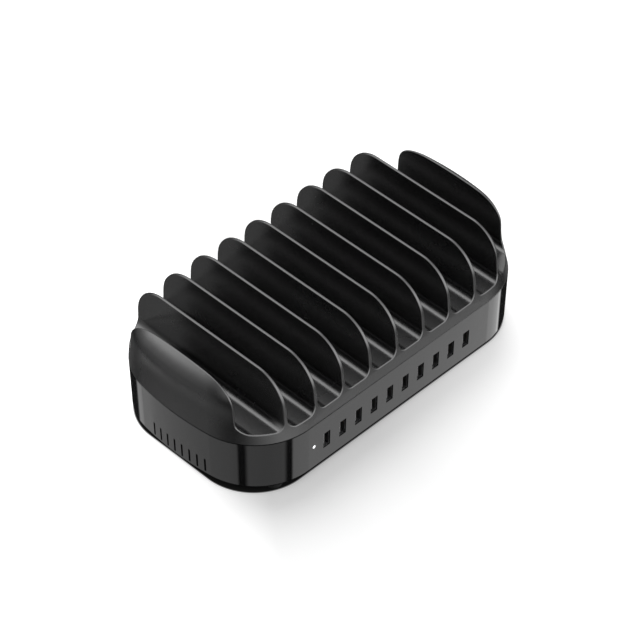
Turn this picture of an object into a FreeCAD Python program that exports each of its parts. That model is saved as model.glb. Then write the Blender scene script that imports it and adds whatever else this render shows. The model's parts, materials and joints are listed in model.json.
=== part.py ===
import FreeCAD, Part
import math
import os

# Charging station organizer: a gloss housing with ten upright USB ports carries a tray of slots.
# Lengths are in millimetres. X runs along the row of slots, the ports face -Y and Z points up.
# The origin is on the table, under the middle of the station.

os.makedirs("parts", exist_ok=True)
Vector = FreeCAD.Vector

# Body as a whole
body_length = 278.2
body_width = 151.4
plan_corner_radius = 50.5
end_bow_radius = 225.0
foot_height = 5.0
band_height = 41.0
overrun = 6.0

# Upper tray: the rounded crown and the slots cut through it
slot_count = 10
end_wall = 11.9
slot_floor_rise = 7.8
slot_root_radius = 6.0
divider_top_thickness = 2.2
divider_root_thickness = 3.2
tray_floor = 2.4
tray_edge_round = 0.8
front_lean = 4.5
rear_lean = 1.4
side_lean_height = 20.0
end_lean = 2.0
end_lean_height = 20.0
lean_power = 1.5
shoulder_radius = 26.5
end_shoulder_radius = 17.0
end_shoulder_height = 15.8
lean_sections = 5
shoulder_sections = 6
tongue_thickness = 1.4
tongue_depth = 3.0
boss_radius = 4.0
boss_pilot_radius = 1.3
boss_pilot_depth = 14.0
boss_end_margin = 21.0
boss_side_margin = 31.0
boss_rear_margin = 18.0

# Base housing: gloss band round the electronics
housing_wall = 2.4
band_flare = 0.9
bottom_round = 2.0
ledge_width = 4.0
ledge_thickness = 2.0
fit_clearance = 0.2
vent_count = 8
vent_pitch = 6.9
vent_width = 1.6
vent_height = 11.5
vent_rise = 3.5
vent_offset = -3.8

# Rear power panel, sunk into the back of the housing
panel_width = 66.0
panel_height = 27.0
panel_depth = 4.2
panel_centre_x = 50.0
panel_rise = 21.0

# Bottom cover, feet and screws
cover_thickness = 3.0
cover_clearance = 0.3
standoff_radius = 3.2
standoff_pilot_radius = 0.95
foot_radius = 6.0
foot_edge_round = 1.0
foot_end_margin = 32.8
foot_side_margin = 13.9
screw_head_radius = 2.8
screw_head_height = 1.5
screw_shank_radius = 1.25
screw_shank_length = 12.0
screw_hole_radius = 1.7
counterbore_radius = 3.2
counterbore_depth = 1.6
sheet_thickness = 0.4
sheet_clearance = 0.4

# USB ports, standing on their narrow side
port_count = 10
port_pitch = 14.98
port_row_offset = -2.6
port_rise = 20.0
port_cut_width = 6.3
port_cut_height = 13.6
usb_width = 5.7
usb_height = 13.1
usb_length = 14.0
usb_sheet = 0.3
usb_setback = 1.0
usb_insert_back = 3.0
tongue_plate = 1.84
tongue_plate_height = 11.1
tongue_plate_setback = 1.2
tongue_plate_gap = 0.6
contact_count = 4
contact_pitch = 2.3
contact_width = 1.0
contact_thickness = 0.2
contact_setback = 0.8

# Indicator beside the port row
led_gap = 11.8
led_rise = 0.9
pipe_radius = 1.25
pipe_flange_radius = 2.0
pipe_flange_thickness = 1.0
pipe_clearance = 0.1
led_radius = 1.5
led_length = 5.0
led_lead = 0.5
led_lead_spacing = 1.6

# Circuit boards
board_thickness = 1.6
board_clearance = 0.5
usb_board_depth = 34.0
usb_board_end_margin = 14.0
led_board_margin = 12.0
board_gap = 12.0
power_board_length = 190.0
board_rear_gap = 8.6
board_corner_margin = 8.0
board_hole_radius = 1.35
board_screw_head_radius = 2.3
board_screw_head_height = 1.6
board_screw_shank_radius = 0.9
board_screw_bite = 7.0

# Mains inlet, two pole
inlet_offset = -16.0
inlet_flange_width = 27.0
inlet_flange_height = 15.0
inlet_flange_thickness = 1.6
inlet_flange_corner = 3.0
inlet_body_width = 19.0
inlet_body_height = 10.8
inlet_body_length = 15.0
inlet_recess_width = 16.2
inlet_recess_height = 8.2
inlet_recess_depth = 11.5
inlet_hole_clearance = 0.3
inlet_pin_radius = 1.2
inlet_pin_spacing = 8.6
inlet_pin_setback = 1.6
inlet_tail_length = 4.0

# Mains switch with its rocker
switch_offset = 17.0
bezel_width = 15.0
bezel_height = 21.0
bezel_thickness = 1.6
bezel_corner = 1.5
switch_body_width = 13.0
switch_body_height = 19.0
switch_body_length = 14.0
switch_hole_clearance = 0.2
rocker_well_width = 10.6
rocker_well_height = 17.0
rocker_well_depth = 9.0
rocker_clearance = 0.3
rocker_throw = 20.0
rocker_half_height = 7.3
rocker_pivot_depth = 3.4
rocker_crown = 3.6
rocker_dish = 1.1
rocker_hub_radius = 3.2
pivot_radius = 1.1
pivot_length = 0.9
pivot_clearance = 0.05
switch_tail_width = 4.8
switch_tail_thickness = 0.8
switch_tail_length = 4.0
switch_tail_spacing = 7.0

# Leads and links between the pieces
lead_radius = 1.0
lead_bend = 2.4
lead_run = 5.0
lead_landing = 4.0
link_width = 6.0
link_thickness = 1.2
link_arch = 5.0
link_foot = 5.0
link_spacing = 40.0

# Pieces on the power board, with their places as shares of the board's length and depth
transformer_place_shares = (-0.08, 0.0)
core_width = 38.0
core_depth = 15.0
core_height = 28.0
core_leg = 6.0
core_centre_leg = 12.0
winding_build = 6.4
winding_clearance = 0.2
winding_overhang = 6.0
winding_corner = 3.0
bulk_place_shares = (0.10, 0.14)
bulk_radius = 11.0
bulk_height = 29.0
can_round = 0.8
can_groove = 0.6
can_groove_rise = 3.0
output_place_shares = ((-0.41, -0.30), (-0.345, -0.30), (-0.28, -0.30), (-0.215, -0.30))
output_radius = 5.0
output_height = 20.0
primary_place_shares = (0.16, -0.36)
secondary_place_shares = (-0.30, 0.10)
sink_length = 36.0
sink_plate = 3.0
sink_height = 24.0
sink_fin_count = 5
sink_fin_depth = 7.0
sink_fin_thickness = 1.4
package_width = 10.0
package_thickness = 4.6
package_height = 15.0
package_lift = 4.0
package_lead_width = 0.8
package_lead_spacing = 2.5
choke_place_shares = (0.32, -0.12)
choke_radius = 11.0
choke_bore = 5.0
choke_height = 10.0
choke_round = 2.0
line_place_shares = (0.29, 0.34)
line_length = 18.0
line_depth = 8.5
line_height = 14.0
line_round = 1.0
fuse_place_shares = (0.42, 0.24)
fuse_radius = 2.6
fuse_length = 20.0
fuse_cap_radius = 3.0
fuse_cap_length = 5.0
fuse_lift = 4.0
fuse_clip_width = 3.0
bridge_place_shares = (0.43, -0.24)
bridge_length = 4.0
bridge_depth = 20.0
bridge_height = 15.0

# Levels and places that follow from the sizes above
half_length = body_length / 2
half_width = body_width / 2
slot_pitch = (body_length - 2 * end_wall) / slot_count
housing_bottom = foot_height
seam_level = housing_bottom + band_height
slot_floor = seam_level + slot_floor_rise
tray_underside = slot_floor - tray_floor
crown_height = side_lean_height + shoulder_radius
crown_top = seam_level + crown_height
cover_top = housing_bottom + cover_thickness
port_level = housing_bottom + port_rise
board_top = port_level - usb_height / 2
board_bottom = board_top - board_thickness
rim_thickness = housing_wall + fit_clearance + tongue_thickness
port_xs = [port_row_offset + (i - (port_count - 1) / 2) * port_pitch for i in range(port_count)]
led_x = port_xs[0] - led_gap
led_level = port_level + led_rise
panel_level = housing_bottom + panel_rise
panel_face = half_width - panel_depth
inlet_x = panel_centre_x + inlet_offset
inlet_tail_end = panel_face - inlet_body_length - inlet_tail_length
switch_x = panel_centre_x + switch_offset
boss_x = half_length - boss_end_margin
boss_y = half_width - boss_side_margin


def band_inset(level):
    """How far the flared band stands inside its seam outline at a level."""
    return band_flare * (seam_level - level) / band_height


front_face = -half_width + band_inset(port_level)
usb_front = front_face + usb_setback
usb_back = usb_front + usb_length
usb_board_front = -half_width + band_inset(board_bottom) + housing_wall + board_clearance
usb_board_back = usb_board_front + usb_board_depth
power_board_front = usb_board_back + board_gap
power_board_back = inlet_tail_end - board_rear_gap
power_board_depth = power_board_back - power_board_front
power_board_y = (power_board_front + power_board_back) / 2
usb_board_left = led_x - led_board_margin
usb_board_right = port_xs[-1] + usb_board_end_margin
rear_boss_y = half_width - boss_rear_margin
front_boss_y = (usb_board_back + power_board_front) / 2
boss_places = [(sx * boss_x, sy * boss_y) for sx in (-1, 1) for sy in (-1, 1)]
boss_places += [(0, front_boss_y), (0, rear_boss_y)]
rocker_pivot_y = panel_face + bezel_thickness - rocker_pivot_depth


def board_screw_places(left, right, front, back):
    """Screw places in the four corners of a board."""
    xs = (left + board_corner_margin, right - board_corner_margin)
    ys = (front + board_corner_margin, back - board_corner_margin)
    return [(x, y) for x in xs for y in ys]


usb_board_screws = board_screw_places(usb_board_left, usb_board_right, usb_board_front, usb_board_back)
power_board_screws = board_screw_places(
    -power_board_length / 2, power_board_length / 2, power_board_front, power_board_back)
standoff_places = usb_board_screws + power_board_screws


def save(name, shape):
    """Write one sub-part."""
    shape.exportStep(f"parts/{name}.step")


def box(x_low, x_high, y_low, y_high, z_low, z_high):
    """Block between two corners."""
    return Part.makeBox(x_high - x_low, y_high - y_low, z_high - z_low, Vector(x_low, y_low, z_low))


def post(x, y, low, high, radius):
    """Upright cylinder."""
    return Part.makeCylinder(radius, high - low, Vector(x, y, low))


def rod(x, z, front, back, radius):
    """Cylinder along Y."""
    return Part.makeCylinder(radius, back - front, Vector(x, front, z), Vector(0, 1, 0))


def upright(x, y, width, depth, low, high):
    """Standing block, centred on x and y."""
    return box(x - width / 2, x + width / 2, y - depth / 2, y + depth / 2, low, high)


def beam(x, z, width, height, front, back):
    """Block along Y, centred on x and z."""
    return box(x - width / 2, x + width / 2, front, back, z - height / 2, z + height / 2)


def rounded_beam(x, z, width, height, front, back, corner):
    """Block along Y whose four long edges are rounded."""
    block = beam(x, z, width, height, front, back)
    long_edges = [edge for edge in block.Edges if edge.BoundBox.YLength > (back - front) / 2]
    return block.makeFillet(corner, long_edges)


def outline(inset_x, inset_front, inset_back, level):
    """Plan outline at one level: straight sides, round corners and gently bowed ends."""
    inset_y = (inset_front + inset_back) / 2
    shift = (inset_front - inset_back) / 2
    length = half_length - inset_x
    width = half_width - inset_y
    corner = plan_corner_radius - (inset_x + inset_y) / 2
    bow = end_bow_radius - inset_x
    centre_y = width - corner
    reach = math.sqrt((bow - corner) ** 2 - centre_y ** 2)
    centre_x = length - bow + reach
    turn = math.atan2(centre_y, reach)
    middle = (turn + math.pi / 2) / 2
    tangent_x = centre_x + corner * math.cos(turn)
    tangent_y = centre_y + corner * math.sin(turn)
    middle_x = centre_x + corner * math.cos(middle)
    middle_y = centre_y + corner * math.sin(middle)

    def place(x, y):
        return Vector(x, y + shift, level)

    def line(start, end):
        return Part.LineSegment(place(*start), place(*end)).toShape()

    def arc(start, through, end):
        return Part.Arc(place(*start), place(*through), place(*end)).toShape()

    return Part.Wire([
        line((-centre_x, -width), (centre_x, -width)),
        arc((centre_x, -width), (middle_x, -middle_y), (tangent_x, -tangent_y)),
        arc((tangent_x, -tangent_y), (length, 0), (tangent_x, tangent_y)),
        arc((tangent_x, tangent_y), (middle_x, middle_y), (centre_x, width)),
        line((centre_x, width), (-centre_x, width)),
        arc((-centre_x, width), (-middle_x, middle_y), (-tangent_x, tangent_y)),
        arc((-tangent_x, tangent_y), (-length, 0), (-tangent_x, -tangent_y)),
        arc((-tangent_x, -tangent_y), (-middle_x, -middle_y), (-centre_x, -width)),
    ])


def tapered(inset, low, high):
    """Solid that follows the band's flare, inset from its outer face."""
    bottom = inset + band_inset(low)
    top = inset + band_inset(high)
    ends = [outline(bottom, bottom, bottom, low), outline(top, top, top, high)]
    return Part.makeLoft(ends, True, True)


def eased(share):
    """Lean that starts steep at the seam and ends upright."""
    return 1 - (1 - min(share, 1)) ** lean_power


def shoulder(height, radius):
    """Drop-back of a round shoulder at a height above its start."""
    return radius - math.sqrt(radius ** 2 - max(height, 0) ** 2)


def crown_outline(height, wall):
    """Outline of the crown at a height above the seam, inset by a wall."""
    lean = eased(height / side_lean_height)
    drop = wall + shoulder(height - side_lean_height, shoulder_radius)
    end = wall + end_lean * eased(height / end_lean_height)
    end += shoulder(height - crown_height + end_shoulder_height, end_shoulder_radius)
    return outline(end, front_lean * lean + drop, rear_lean * lean + drop, seam_level + height)


def crown(wall):
    """Domed solid that the slots are cut from."""
    heights = [side_lean_height * i / lean_sections for i in range(lean_sections)]
    for i in range(shoulder_sections + 1):
        rise = math.sin(math.pi / 2 * i / shoulder_sections)
        heights.append(side_lean_height + shoulder_radius * rise)
    return Part.makeLoft([crown_outline(height, wall) for height in heights], True, False)


def slot_side(boundary, level):
    """Distance of a slot's side from a boundary: dividers taper upwards, end walls are upright."""
    if boundary in (0, slot_count):
        return 0
    climb = (level - slot_floor) / (crown_top - slot_floor)
    return (divider_root_thickness + climb * (divider_top_thickness - divider_root_thickness)) / 2


def slot_cutter(index):
    """Round-bottomed channel that runs right through from front to back."""
    left = (index - slot_count / 2) * slot_pitch
    right = left + slot_pitch
    top = crown_top + overrun
    front = -half_width - overrun
    corners = [
        Vector(left + slot_side(index, slot_floor), front, slot_floor),
        Vector(right - slot_side(index + 1, slot_floor), front, slot_floor),
        Vector(right - slot_side(index + 1, top), front, top),
        Vector(left + slot_side(index, top), front, top),
    ]
    face = Part.Face(Part.makePolygon(corners + corners[:1]))
    channel = face.extrude(Vector(0, body_width + 2 * overrun, 0))
    roots = [edge for edge in channel.Edges if edge.BoundBox.ZMax < slot_floor + slot_root_radius
             and edge.BoundBox.YLength > half_width]
    return channel.makeFillet(slot_root_radius, roots)


def is_slot_face(face):
    """True for the walls, roots and floors that the slot cutters leave."""
    if isinstance(face.Surface, Part.Cylinder):
        return True
    level = face.CenterOfMass.z
    return isinstance(face.Surface, Part.Plane) and seam_level < level < crown_top - tray_edge_round


def upper_tray():
    """Tray moulding: dividers, end walls, rim and floor, hollow below, with bosses for the screws."""
    solid = crown(0).cut([slot_cutter(i) for i in range(slot_count)])
    lips = []
    for edge in solid.Edges:
        sides = [is_slot_face(face) for face in solid.ancestorsOfType(edge, Part.Face)]
        if sides.count(True) == 1:
            lips.append(edge)
    solid = solid.makeFillet(tray_edge_round, lips)
    inside = crown(rim_thickness)
    reach = half_length + overrun
    side = half_width + overrun
    end_plane = slot_count / 2 * slot_pitch + tray_floor
    solid = solid.cut([
        inside.common(box(-reach, reach, -side, side, seam_level - overrun, tray_underside)),
        inside.common(box(-reach, -end_plane, -side, side, seam_level - overrun, crown_top)),
        inside.common(box(end_plane, reach, -side, side, seam_level - overrun, crown_top)),
    ])
    tongue_end = seam_level - tongue_depth
    tongue = tapered(housing_wall + fit_clearance, tongue_end, seam_level)
    tongue = tongue.cut(tapered(rim_thickness, tongue_end - overrun, seam_level + overrun))
    boss_end = tray_underside + tray_floor / 2
    bosses = [post(x, y, cover_top, boss_end, boss_radius) for x, y in boss_places]
    pilot_end = cover_top + boss_pilot_depth
    pilots = [post(x, y, cover_top - overrun, pilot_end, boss_pilot_radius) for x, y in boss_places]
    return solid.fuse([tongue] + bosses).cut(pilots).removeSplitter()


def port_cuts():
    """Upright cut-outs for the ports."""
    front = -half_width - overrun
    back = front_face + housing_wall + overrun
    return [beam(x, port_level, port_cut_width, port_cut_height, front, back) for x in port_xs]


def vent_cuts():
    """Vent slots low in both ends."""
    low = housing_bottom + vent_rise
    cuts = []
    for i in range(vent_count):
        y = vent_offset + (i - (vent_count - 1) / 2) * vent_pitch
        for side in (-1, 1):
            inner = half_length - band_flare - housing_wall - vent_width
            outer = half_length + overrun
            middle = side * (inner + outer) / 2
            cuts.append(upright(middle, y, outer - inner, vent_width, low, low + vent_height))
    return cuts


def panel_cuts():
    """Holes in the power panel for the inlet and the switch."""
    back = panel_face + overrun
    front = panel_face - housing_wall - overrun
    width = inlet_body_width + 2 * inlet_hole_clearance
    height = inlet_body_height + 2 * inlet_hole_clearance
    inlet = rounded_beam(inlet_x, panel_level, width, height, front, back, inlet_flange_corner)
    width = switch_body_width + 2 * switch_hole_clearance
    height = switch_body_height + 2 * switch_hole_clearance
    switch = beam(switch_x, panel_level, width, height, front, back)
    return [inlet, switch]


def panel_block(margin, front, back):
    """Block of the power panel's outline."""
    width = panel_width + 2 * margin
    height = panel_height + 2 * margin
    return beam(panel_centre_x, panel_level, width, height, front, back)


def base_housing():
    """Gloss band with a rounded lower edge, a ledge for the cover and the sunk power panel."""
    outer = tapered(0, housing_bottom, seam_level)
    rim = [edge for edge in outer.Edges if edge.BoundBox.ZMax < housing_bottom + bottom_round]
    outer = outer.makeFillet(bottom_round, rim)
    ledge_top = cover_top + ledge_thickness
    ring = outer.cut([
        tapered(housing_wall, housing_bottom - overrun, cover_top),
        tapered(housing_wall, ledge_top, seam_level + overrun),
        tapered(housing_wall + ledge_width, housing_bottom, seam_level),
    ])
    backing = panel_block(housing_wall, panel_face - housing_wall, half_width).common(outer)
    ring = ring.fuse(backing)
    cuts = port_cuts() + vent_cuts() + panel_cuts()
    cuts.append(panel_block(0, panel_face, half_width + overrun))
    cuts.append(rod(led_x, led_level, -half_width - overrun, front_face + housing_wall + overrun,
                    pipe_radius + pipe_clearance))
    return ring.cut(cuts).removeSplitter()


def bottom_cover():
    """Plate inside the lower edge of the housing, with standoffs for the boards."""
    plate = tapered(housing_wall + cover_clearance, housing_bottom, cover_top)
    posts = [post(x, y, cover_top, board_bottom, standoff_radius) for x, y in standoff_places]
    pilot_end = board_bottom - board_screw_bite - board_clearance
    pilot_top = board_bottom + overrun
    cuts = [post(x, y, pilot_end, pilot_top, standoff_pilot_radius) for x, y in standoff_places]
    below = housing_bottom - overrun
    for x, y in boss_places:
        cuts.append(post(x, y, below, cover_top + overrun, screw_hole_radius))
        cuts.append(post(x, y, below, housing_bottom + counterbore_depth, counterbore_radius))
    return plate.fuse(posts).cut(cuts).removeSplitter()


def rubber_foot(side_x, side_y):
    """Round stick-on foot under one corner."""
    x = side_x * (half_length - foot_end_margin)
    y = side_y * (half_width - foot_side_margin)
    foot = post(x, y, 0, foot_height, foot_radius)
    rim = [edge for edge in foot.Edges if edge.BoundBox.ZMax < foot_edge_round]
    return foot.makeFillet(foot_edge_round, rim)


def screws(places, seat, direction, head_radius, head_height, shank_radius, shank_length):
    """Pan-head screws: the heads lie behind their seat, the shanks run along the direction."""
    pieces = []
    for x, y in places:
        start = Vector(x, y, seat)
        head = Part.makeCylinder(head_radius, head_height, start, Vector(0, 0, -direction))
        shank = Part.makeCylinder(shank_radius, shank_length, start, Vector(0, 0, direction))
        pieces.append(head.fuse(shank).removeSplitter())
    return Part.makeCompound(pieces)


def housing_screws():
    """Screws through the cover into the tray's bosses."""
    seat = housing_bottom + counterbore_depth
    return screws(boss_places, seat, 1, screw_head_radius, screw_head_height,
                  screw_shank_radius, screw_shank_length)


def board_screws():
    """Screws through the boards into the standoffs."""
    length = board_thickness + board_screw_bite
    return screws(standoff_places, board_top, -1, board_screw_head_radius, board_screw_head_height,
                  board_screw_shank_radius, length)


def insulation_sheet():
    """Thin sheet on the cover, under the boards."""
    sheet = tapered(housing_wall + ledge_width + cover_clearance, cover_top, cover_top + sheet_thickness)
    low = cover_top - overrun
    high = cover_top + overrun
    holes = [post(x, y, low, high, standoff_radius + sheet_clearance) for x, y in standoff_places]
    holes += [post(x, y, low, high, boss_radius + sheet_clearance) for x, y in boss_places]
    return sheet.cut(holes)


def board(left, right, front, back, screw_places):
    """Circuit board with its screw holes."""
    plate = box(left, right, front, back, board_bottom, board_top)
    return plate.cut([post(x, y, board_bottom - overrun, board_top + overrun, board_hole_radius)
                      for x, y in screw_places])


def usb_shell(x):
    """Folded steel shell of one port, open at both ends."""
    outer = beam(x, port_level, usb_width, usb_height, usb_front, usb_back)
    width = usb_width - 2 * usb_sheet
    height = usb_height - 2 * usb_sheet
    return outer.cut(beam(x, port_level, width, height, usb_front - overrun, usb_back + overrun))


tongue_tip = usb_front + tongue_plate_setback


def tongue_side(x):
    """Contact face of the tongue in the port at x."""
    return x - usb_width / 2 + usb_sheet + tongue_plate_gap + tongue_plate


def usb_insert(x):
    """Plastic insert of one port: a block that closes the shell, and the tongue for the contacts."""
    width = usb_width - 2 * usb_sheet
    height = usb_height - 2 * usb_sheet
    block = beam(x, port_level, width, height, usb_back - usb_insert_back, usb_back)
    middle = tongue_side(x) - tongue_plate / 2
    plate = beam(middle, port_level, tongue_plate, tongue_plate_height, tongue_tip, usb_back)
    return block.fuse(plate).removeSplitter()


def usb_contacts():
    """Contact strips that lie on the tongues."""
    strips = []
    for x in port_xs:
        for i in range(contact_count):
            z = port_level + (i - (contact_count - 1) / 2) * contact_pitch
            middle = tongue_side(x) + contact_thickness / 2
            strips.append(beam(middle, z, contact_thickness, contact_width,
                               tongue_tip + contact_setback, usb_back - usb_insert_back))
    return Part.makeCompound(strips)


wall_inside = front_face + housing_wall
pipe_back = wall_inside + pipe_clearance + pipe_flange_thickness


def light_pipe():
    """Clear pin from the indicator to the front face, with a collar behind the wall."""
    pin = rod(led_x, led_level, front_face, pipe_back, pipe_radius)
    collar = rod(led_x, led_level, pipe_back - pipe_flange_thickness, pipe_back, pipe_flange_radius)
    return pin.fuse(collar).removeSplitter()


def status_led():
    """Round indicator behind the light pipe, on two leads that stand on the port board."""
    body = rod(led_x, led_level, pipe_back, pipe_back + led_length, led_radius)
    y = pipe_back + led_length - led_lead / 2
    leads = []
    for side in (-1, 1):
        x = led_x + side * led_lead_spacing / 2
        leads.append(upright(x, y, led_lead, led_lead, board_top, led_level))
    return body.fuse(leads).removeSplitter()


def inlet_body():
    """Mains inlet: a flange on the panel and a socket that reaches through it."""
    flange_face = panel_face + inlet_flange_thickness
    socket_end = panel_face - inlet_body_length
    flange = rounded_beam(inlet_x, panel_level, inlet_flange_width, inlet_flange_height,
                          panel_face, flange_face, inlet_flange_corner)
    socket = rounded_beam(inlet_x, panel_level, inlet_body_width, inlet_body_height,
                          socket_end, panel_face, inlet_flange_corner)
    recess = rounded_beam(inlet_x, panel_level, inlet_recess_width, inlet_recess_height,
                          flange_face - inlet_recess_depth, flange_face + overrun,
                          inlet_recess_height / 2 - inlet_hole_clearance)
    pins = [rod(inlet_x + side * inlet_pin_spacing / 2, panel_level, socket_end - overrun, panel_face,
                inlet_pin_radius) for side in (-1, 1)]
    return flange.fuse(socket).cut([recess] + pins).removeSplitter()


def inlet_pins():
    """Two contact pins that pass through the back of the inlet."""
    tip = panel_face + inlet_flange_thickness - inlet_pin_setback
    return Part.makeCompound([
        rod(inlet_x + side * inlet_pin_spacing / 2, panel_level, inlet_tail_end, tip, inlet_pin_radius)
        for side in (-1, 1)])


switch_back = panel_face - switch_body_length


def axle(reach, radius):
    """Cylinder on the rocker's pivot line, reaching equally far to both sides."""
    start = Vector(switch_x - reach, rocker_pivot_y, panel_level)
    return Part.makeCylinder(radius, 2 * reach, start, Vector(1, 0, 0))


def switch_body():
    """Snap-in switch frame with a well for the rocker and two terminals behind."""
    bezel_face = panel_face + bezel_thickness
    bezel = rounded_beam(switch_x, panel_level, bezel_width, bezel_height,
                         panel_face, bezel_face, bezel_corner)
    case = beam(switch_x, panel_level, switch_body_width, switch_body_height, switch_back, panel_face)
    well = beam(switch_x, panel_level, rocker_well_width, rocker_well_height,
                bezel_face - rocker_well_depth, bezel_face + overrun)
    bore = axle(rocker_well_width / 2 + pivot_length, pivot_radius + pivot_clearance)
    tails = []
    for side in (-1, 1):
        z = panel_level + side * switch_tail_spacing / 2
        tails.append(beam(switch_x, z, switch_tail_width, switch_tail_thickness,
                          switch_back - switch_tail_length, switch_back))
    return bezel.fuse([case] + tails).cut([well, bore]).removeSplitter()


def power_rocker():
    """Dished rocker on its two pivot stubs, tipped to its on position."""
    width = rocker_well_width / 2 - rocker_clearance
    crown_y = rocker_pivot_y + rocker_crown
    points = [
        Vector(switch_x - width, crown_y, panel_level),
        Vector(switch_x - width, crown_y + rocker_dish, panel_level + rocker_half_height),
        Vector(switch_x - width, rocker_pivot_y, panel_level + rocker_half_height),
        Vector(switch_x - width, rocker_pivot_y, panel_level - rocker_half_height),
        Vector(switch_x - width, crown_y + rocker_dish, panel_level - rocker_half_height),
    ]
    cap = Part.Face(Part.makePolygon(points + points[:1])).extrude(Vector(2 * width, 0, 0))
    hub = axle(width, rocker_hub_radius)
    stubs = axle(rocker_well_width / 2 + pivot_length - rocker_clearance, pivot_radius)
    rocker = cap.fuse([hub, stubs]).removeSplitter()
    rocker.rotate(Vector(switch_x, rocker_pivot_y, panel_level), Vector(1, 0, 0), -rocker_throw / 2)
    return rocker


def lead(points):
    """Insulated wire along straight runs joined by round bends."""
    edges = []
    start = points[0]
    for before, corner, after in zip(points, points[1:], points[2:]):
        arrive = (before - corner).normalize()
        leave = (after - corner).normalize()
        bend_in = corner + arrive * lead_bend
        bend_out = corner + leave * lead_bend
        centre = corner + (arrive + leave) * lead_bend
        middle = centre - (arrive + leave).normalize() * lead_bend
        edges.append(Part.LineSegment(start, bend_in).toShape())
        edges.append(Part.Arc(bend_in, middle, bend_out).toShape())
        start = bend_out
    edges.append(Part.LineSegment(start, points[-1]).toShape())
    direction = points[1] - points[0]
    section = Part.Wire([Part.Circle(points[0], direction, lead_radius).toShape()])
    return Part.Wire(edges).makePipeShell([section], True, False)


def mains_leads():
    """Live lead from inlet to switch, and one lead from each of them down to the power board."""
    live_x = inlet_x + inlet_pin_spacing / 2
    neutral_x = inlet_x - inlet_pin_spacing / 2
    landing = power_board_back - lead_landing
    upper = panel_level + switch_tail_spacing / 2
    lower = panel_level - switch_tail_spacing / 2
    switch_end = switch_back - switch_tail_length
    turn_y = inlet_tail_end - lead_run
    live = lead([Vector(live_x, inlet_tail_end, panel_level), Vector(live_x, turn_y, panel_level),
                 Vector(live_x, turn_y, upper + lead_run), Vector(switch_x, turn_y, upper + lead_run),
                 Vector(switch_x, turn_y, upper), Vector(switch_x, switch_end, upper)])
    neutral = lead([Vector(neutral_x, inlet_tail_end, panel_level),
                    Vector(neutral_x, landing, panel_level), Vector(neutral_x, landing, board_top)])
    switched = lead([Vector(switch_x, switch_end, lower), Vector(switch_x, landing, lower),
                     Vector(switch_x, landing, board_top)])
    return Part.makeCompound([live, neutral, switched])


def output_links():
    """Two copper bridges that carry the output from the power board to the port board."""
    links = []
    for side in (-1, 1):
        x = side * link_spacing / 2
        middle = (usb_board_back + power_board_front) / 2
        span = board_gap + 2 * link_foot
        top = board_top + link_arch
        arch = upright(x, middle, link_width, span, board_top, top)
        hollow = upright(x, middle, 2 * link_width, span - 2 * link_thickness,
                         board_top - overrun, top - link_thickness)
        links.append(arch.cut(hollow))
    return Part.makeCompound(links)


def board_place(shares):
    """Place on the power board from shares of its length and depth."""
    return shares[0] * power_board_length, power_board_y + shares[1] * power_board_depth


core_x, core_y = board_place(transformer_place_shares)
window_width = (core_width - core_centre_leg) / 2 - core_leg
window_height = core_height - 2 * core_leg


def transformer_core():
    """Ferrite core with two windows."""
    core = upright(core_x, core_y, core_width, core_depth, board_top, board_top + core_height)
    low = board_top + core_leg
    windows = []
    for side in (-1, 1):
        x = core_x + side * (core_centre_leg + window_width) / 2
        windows.append(upright(x, core_y, window_width, 2 * core_depth, low, low + window_height))
    return core.cut(windows)


def transformer_winding():
    """Taped winding round the centre leg, seated on the lower yoke."""
    width = core_centre_leg + 2 * winding_build
    depth = core_depth + 2 * winding_overhang
    low = board_top + core_leg
    high = low + window_height - winding_clearance
    block = upright(core_x, core_y, width, depth, low, high)
    corners = [edge for edge in block.Edges if edge.BoundBox.ZLength > window_height / 2]
    block = block.makeFillet(winding_corner, corners)
    bore_width = core_centre_leg + 2 * winding_clearance
    bore_depth = core_depth + 2 * winding_clearance
    return block.cut(upright(core_x, core_y, bore_width, bore_depth, low - overrun, high + overrun))


def capacitor(shares, radius, height):
    """Upright can with a rolled groove near its foot."""
    x, y = board_place(shares)
    can = post(x, y, board_top, board_top + height, radius)
    rim = [edge for edge in can.Edges if edge.BoundBox.ZMin > board_top + height / 2]
    can = can.makeFillet(can_round, rim)
    groove = Part.makeTorus(radius, can_groove, Vector(x, y, board_top + can_groove_rise))
    return can.cut(groove)


def heatsink(shares):
    """Finned plate that stands on the board, with its fins towards the back."""
    x, y = board_place(shares)
    top = board_top + sink_height
    plate = upright(x, y + sink_plate / 2, sink_length, sink_plate, board_top, top)
    fin_y = y + sink_plate + sink_fin_depth / 2
    fins = []
    for i in range(sink_fin_count):
        fin_x = x + (i / (sink_fin_count - 1) - 1 / 2) * (sink_length - sink_fin_thickness)
        fins.append(upright(fin_x, fin_y, sink_fin_thickness, sink_fin_depth, board_top, top))
    return plate.fuse(fins).removeSplitter()


def package(shares):
    """Power package against the front of a heatsink, on three leads."""
    x, y = board_place(shares)
    low = board_top + package_lift
    middle = y - package_thickness / 2
    body = upright(x, middle, package_width, package_thickness, low, low + package_height)
    leads = []
    for i in (-1, 0, 1):
        lead_x = x + i * package_lead_spacing
        leads.append(upright(lead_x, middle, package_lead_width, package_lead_width, board_top, low))
    return body.fuse(leads).removeSplitter()


def interference_choke():
    """Flat ring core lying on the board."""
    x, y = board_place(choke_place_shares)
    top = board_top + choke_height
    ring = post(x, y, board_top, top, choke_radius)
    rim = [edge for edge in ring.Edges if edge.BoundBox.ZMin > board_top + choke_round]
    ring = ring.makeFillet(choke_round, rim)
    return ring.cut(post(x, y, board_top - overrun, top + overrun, choke_bore))


def line_capacitor():
    """Box capacitor across the mains."""
    x, y = board_place(line_place_shares)
    block = upright(x, y, line_length, line_depth, board_top, board_top + line_height)
    rounded = [edge for edge in block.Edges if edge.BoundBox.ZMax > board_top + line_round]
    return block.makeFillet(line_round, rounded)


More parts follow.
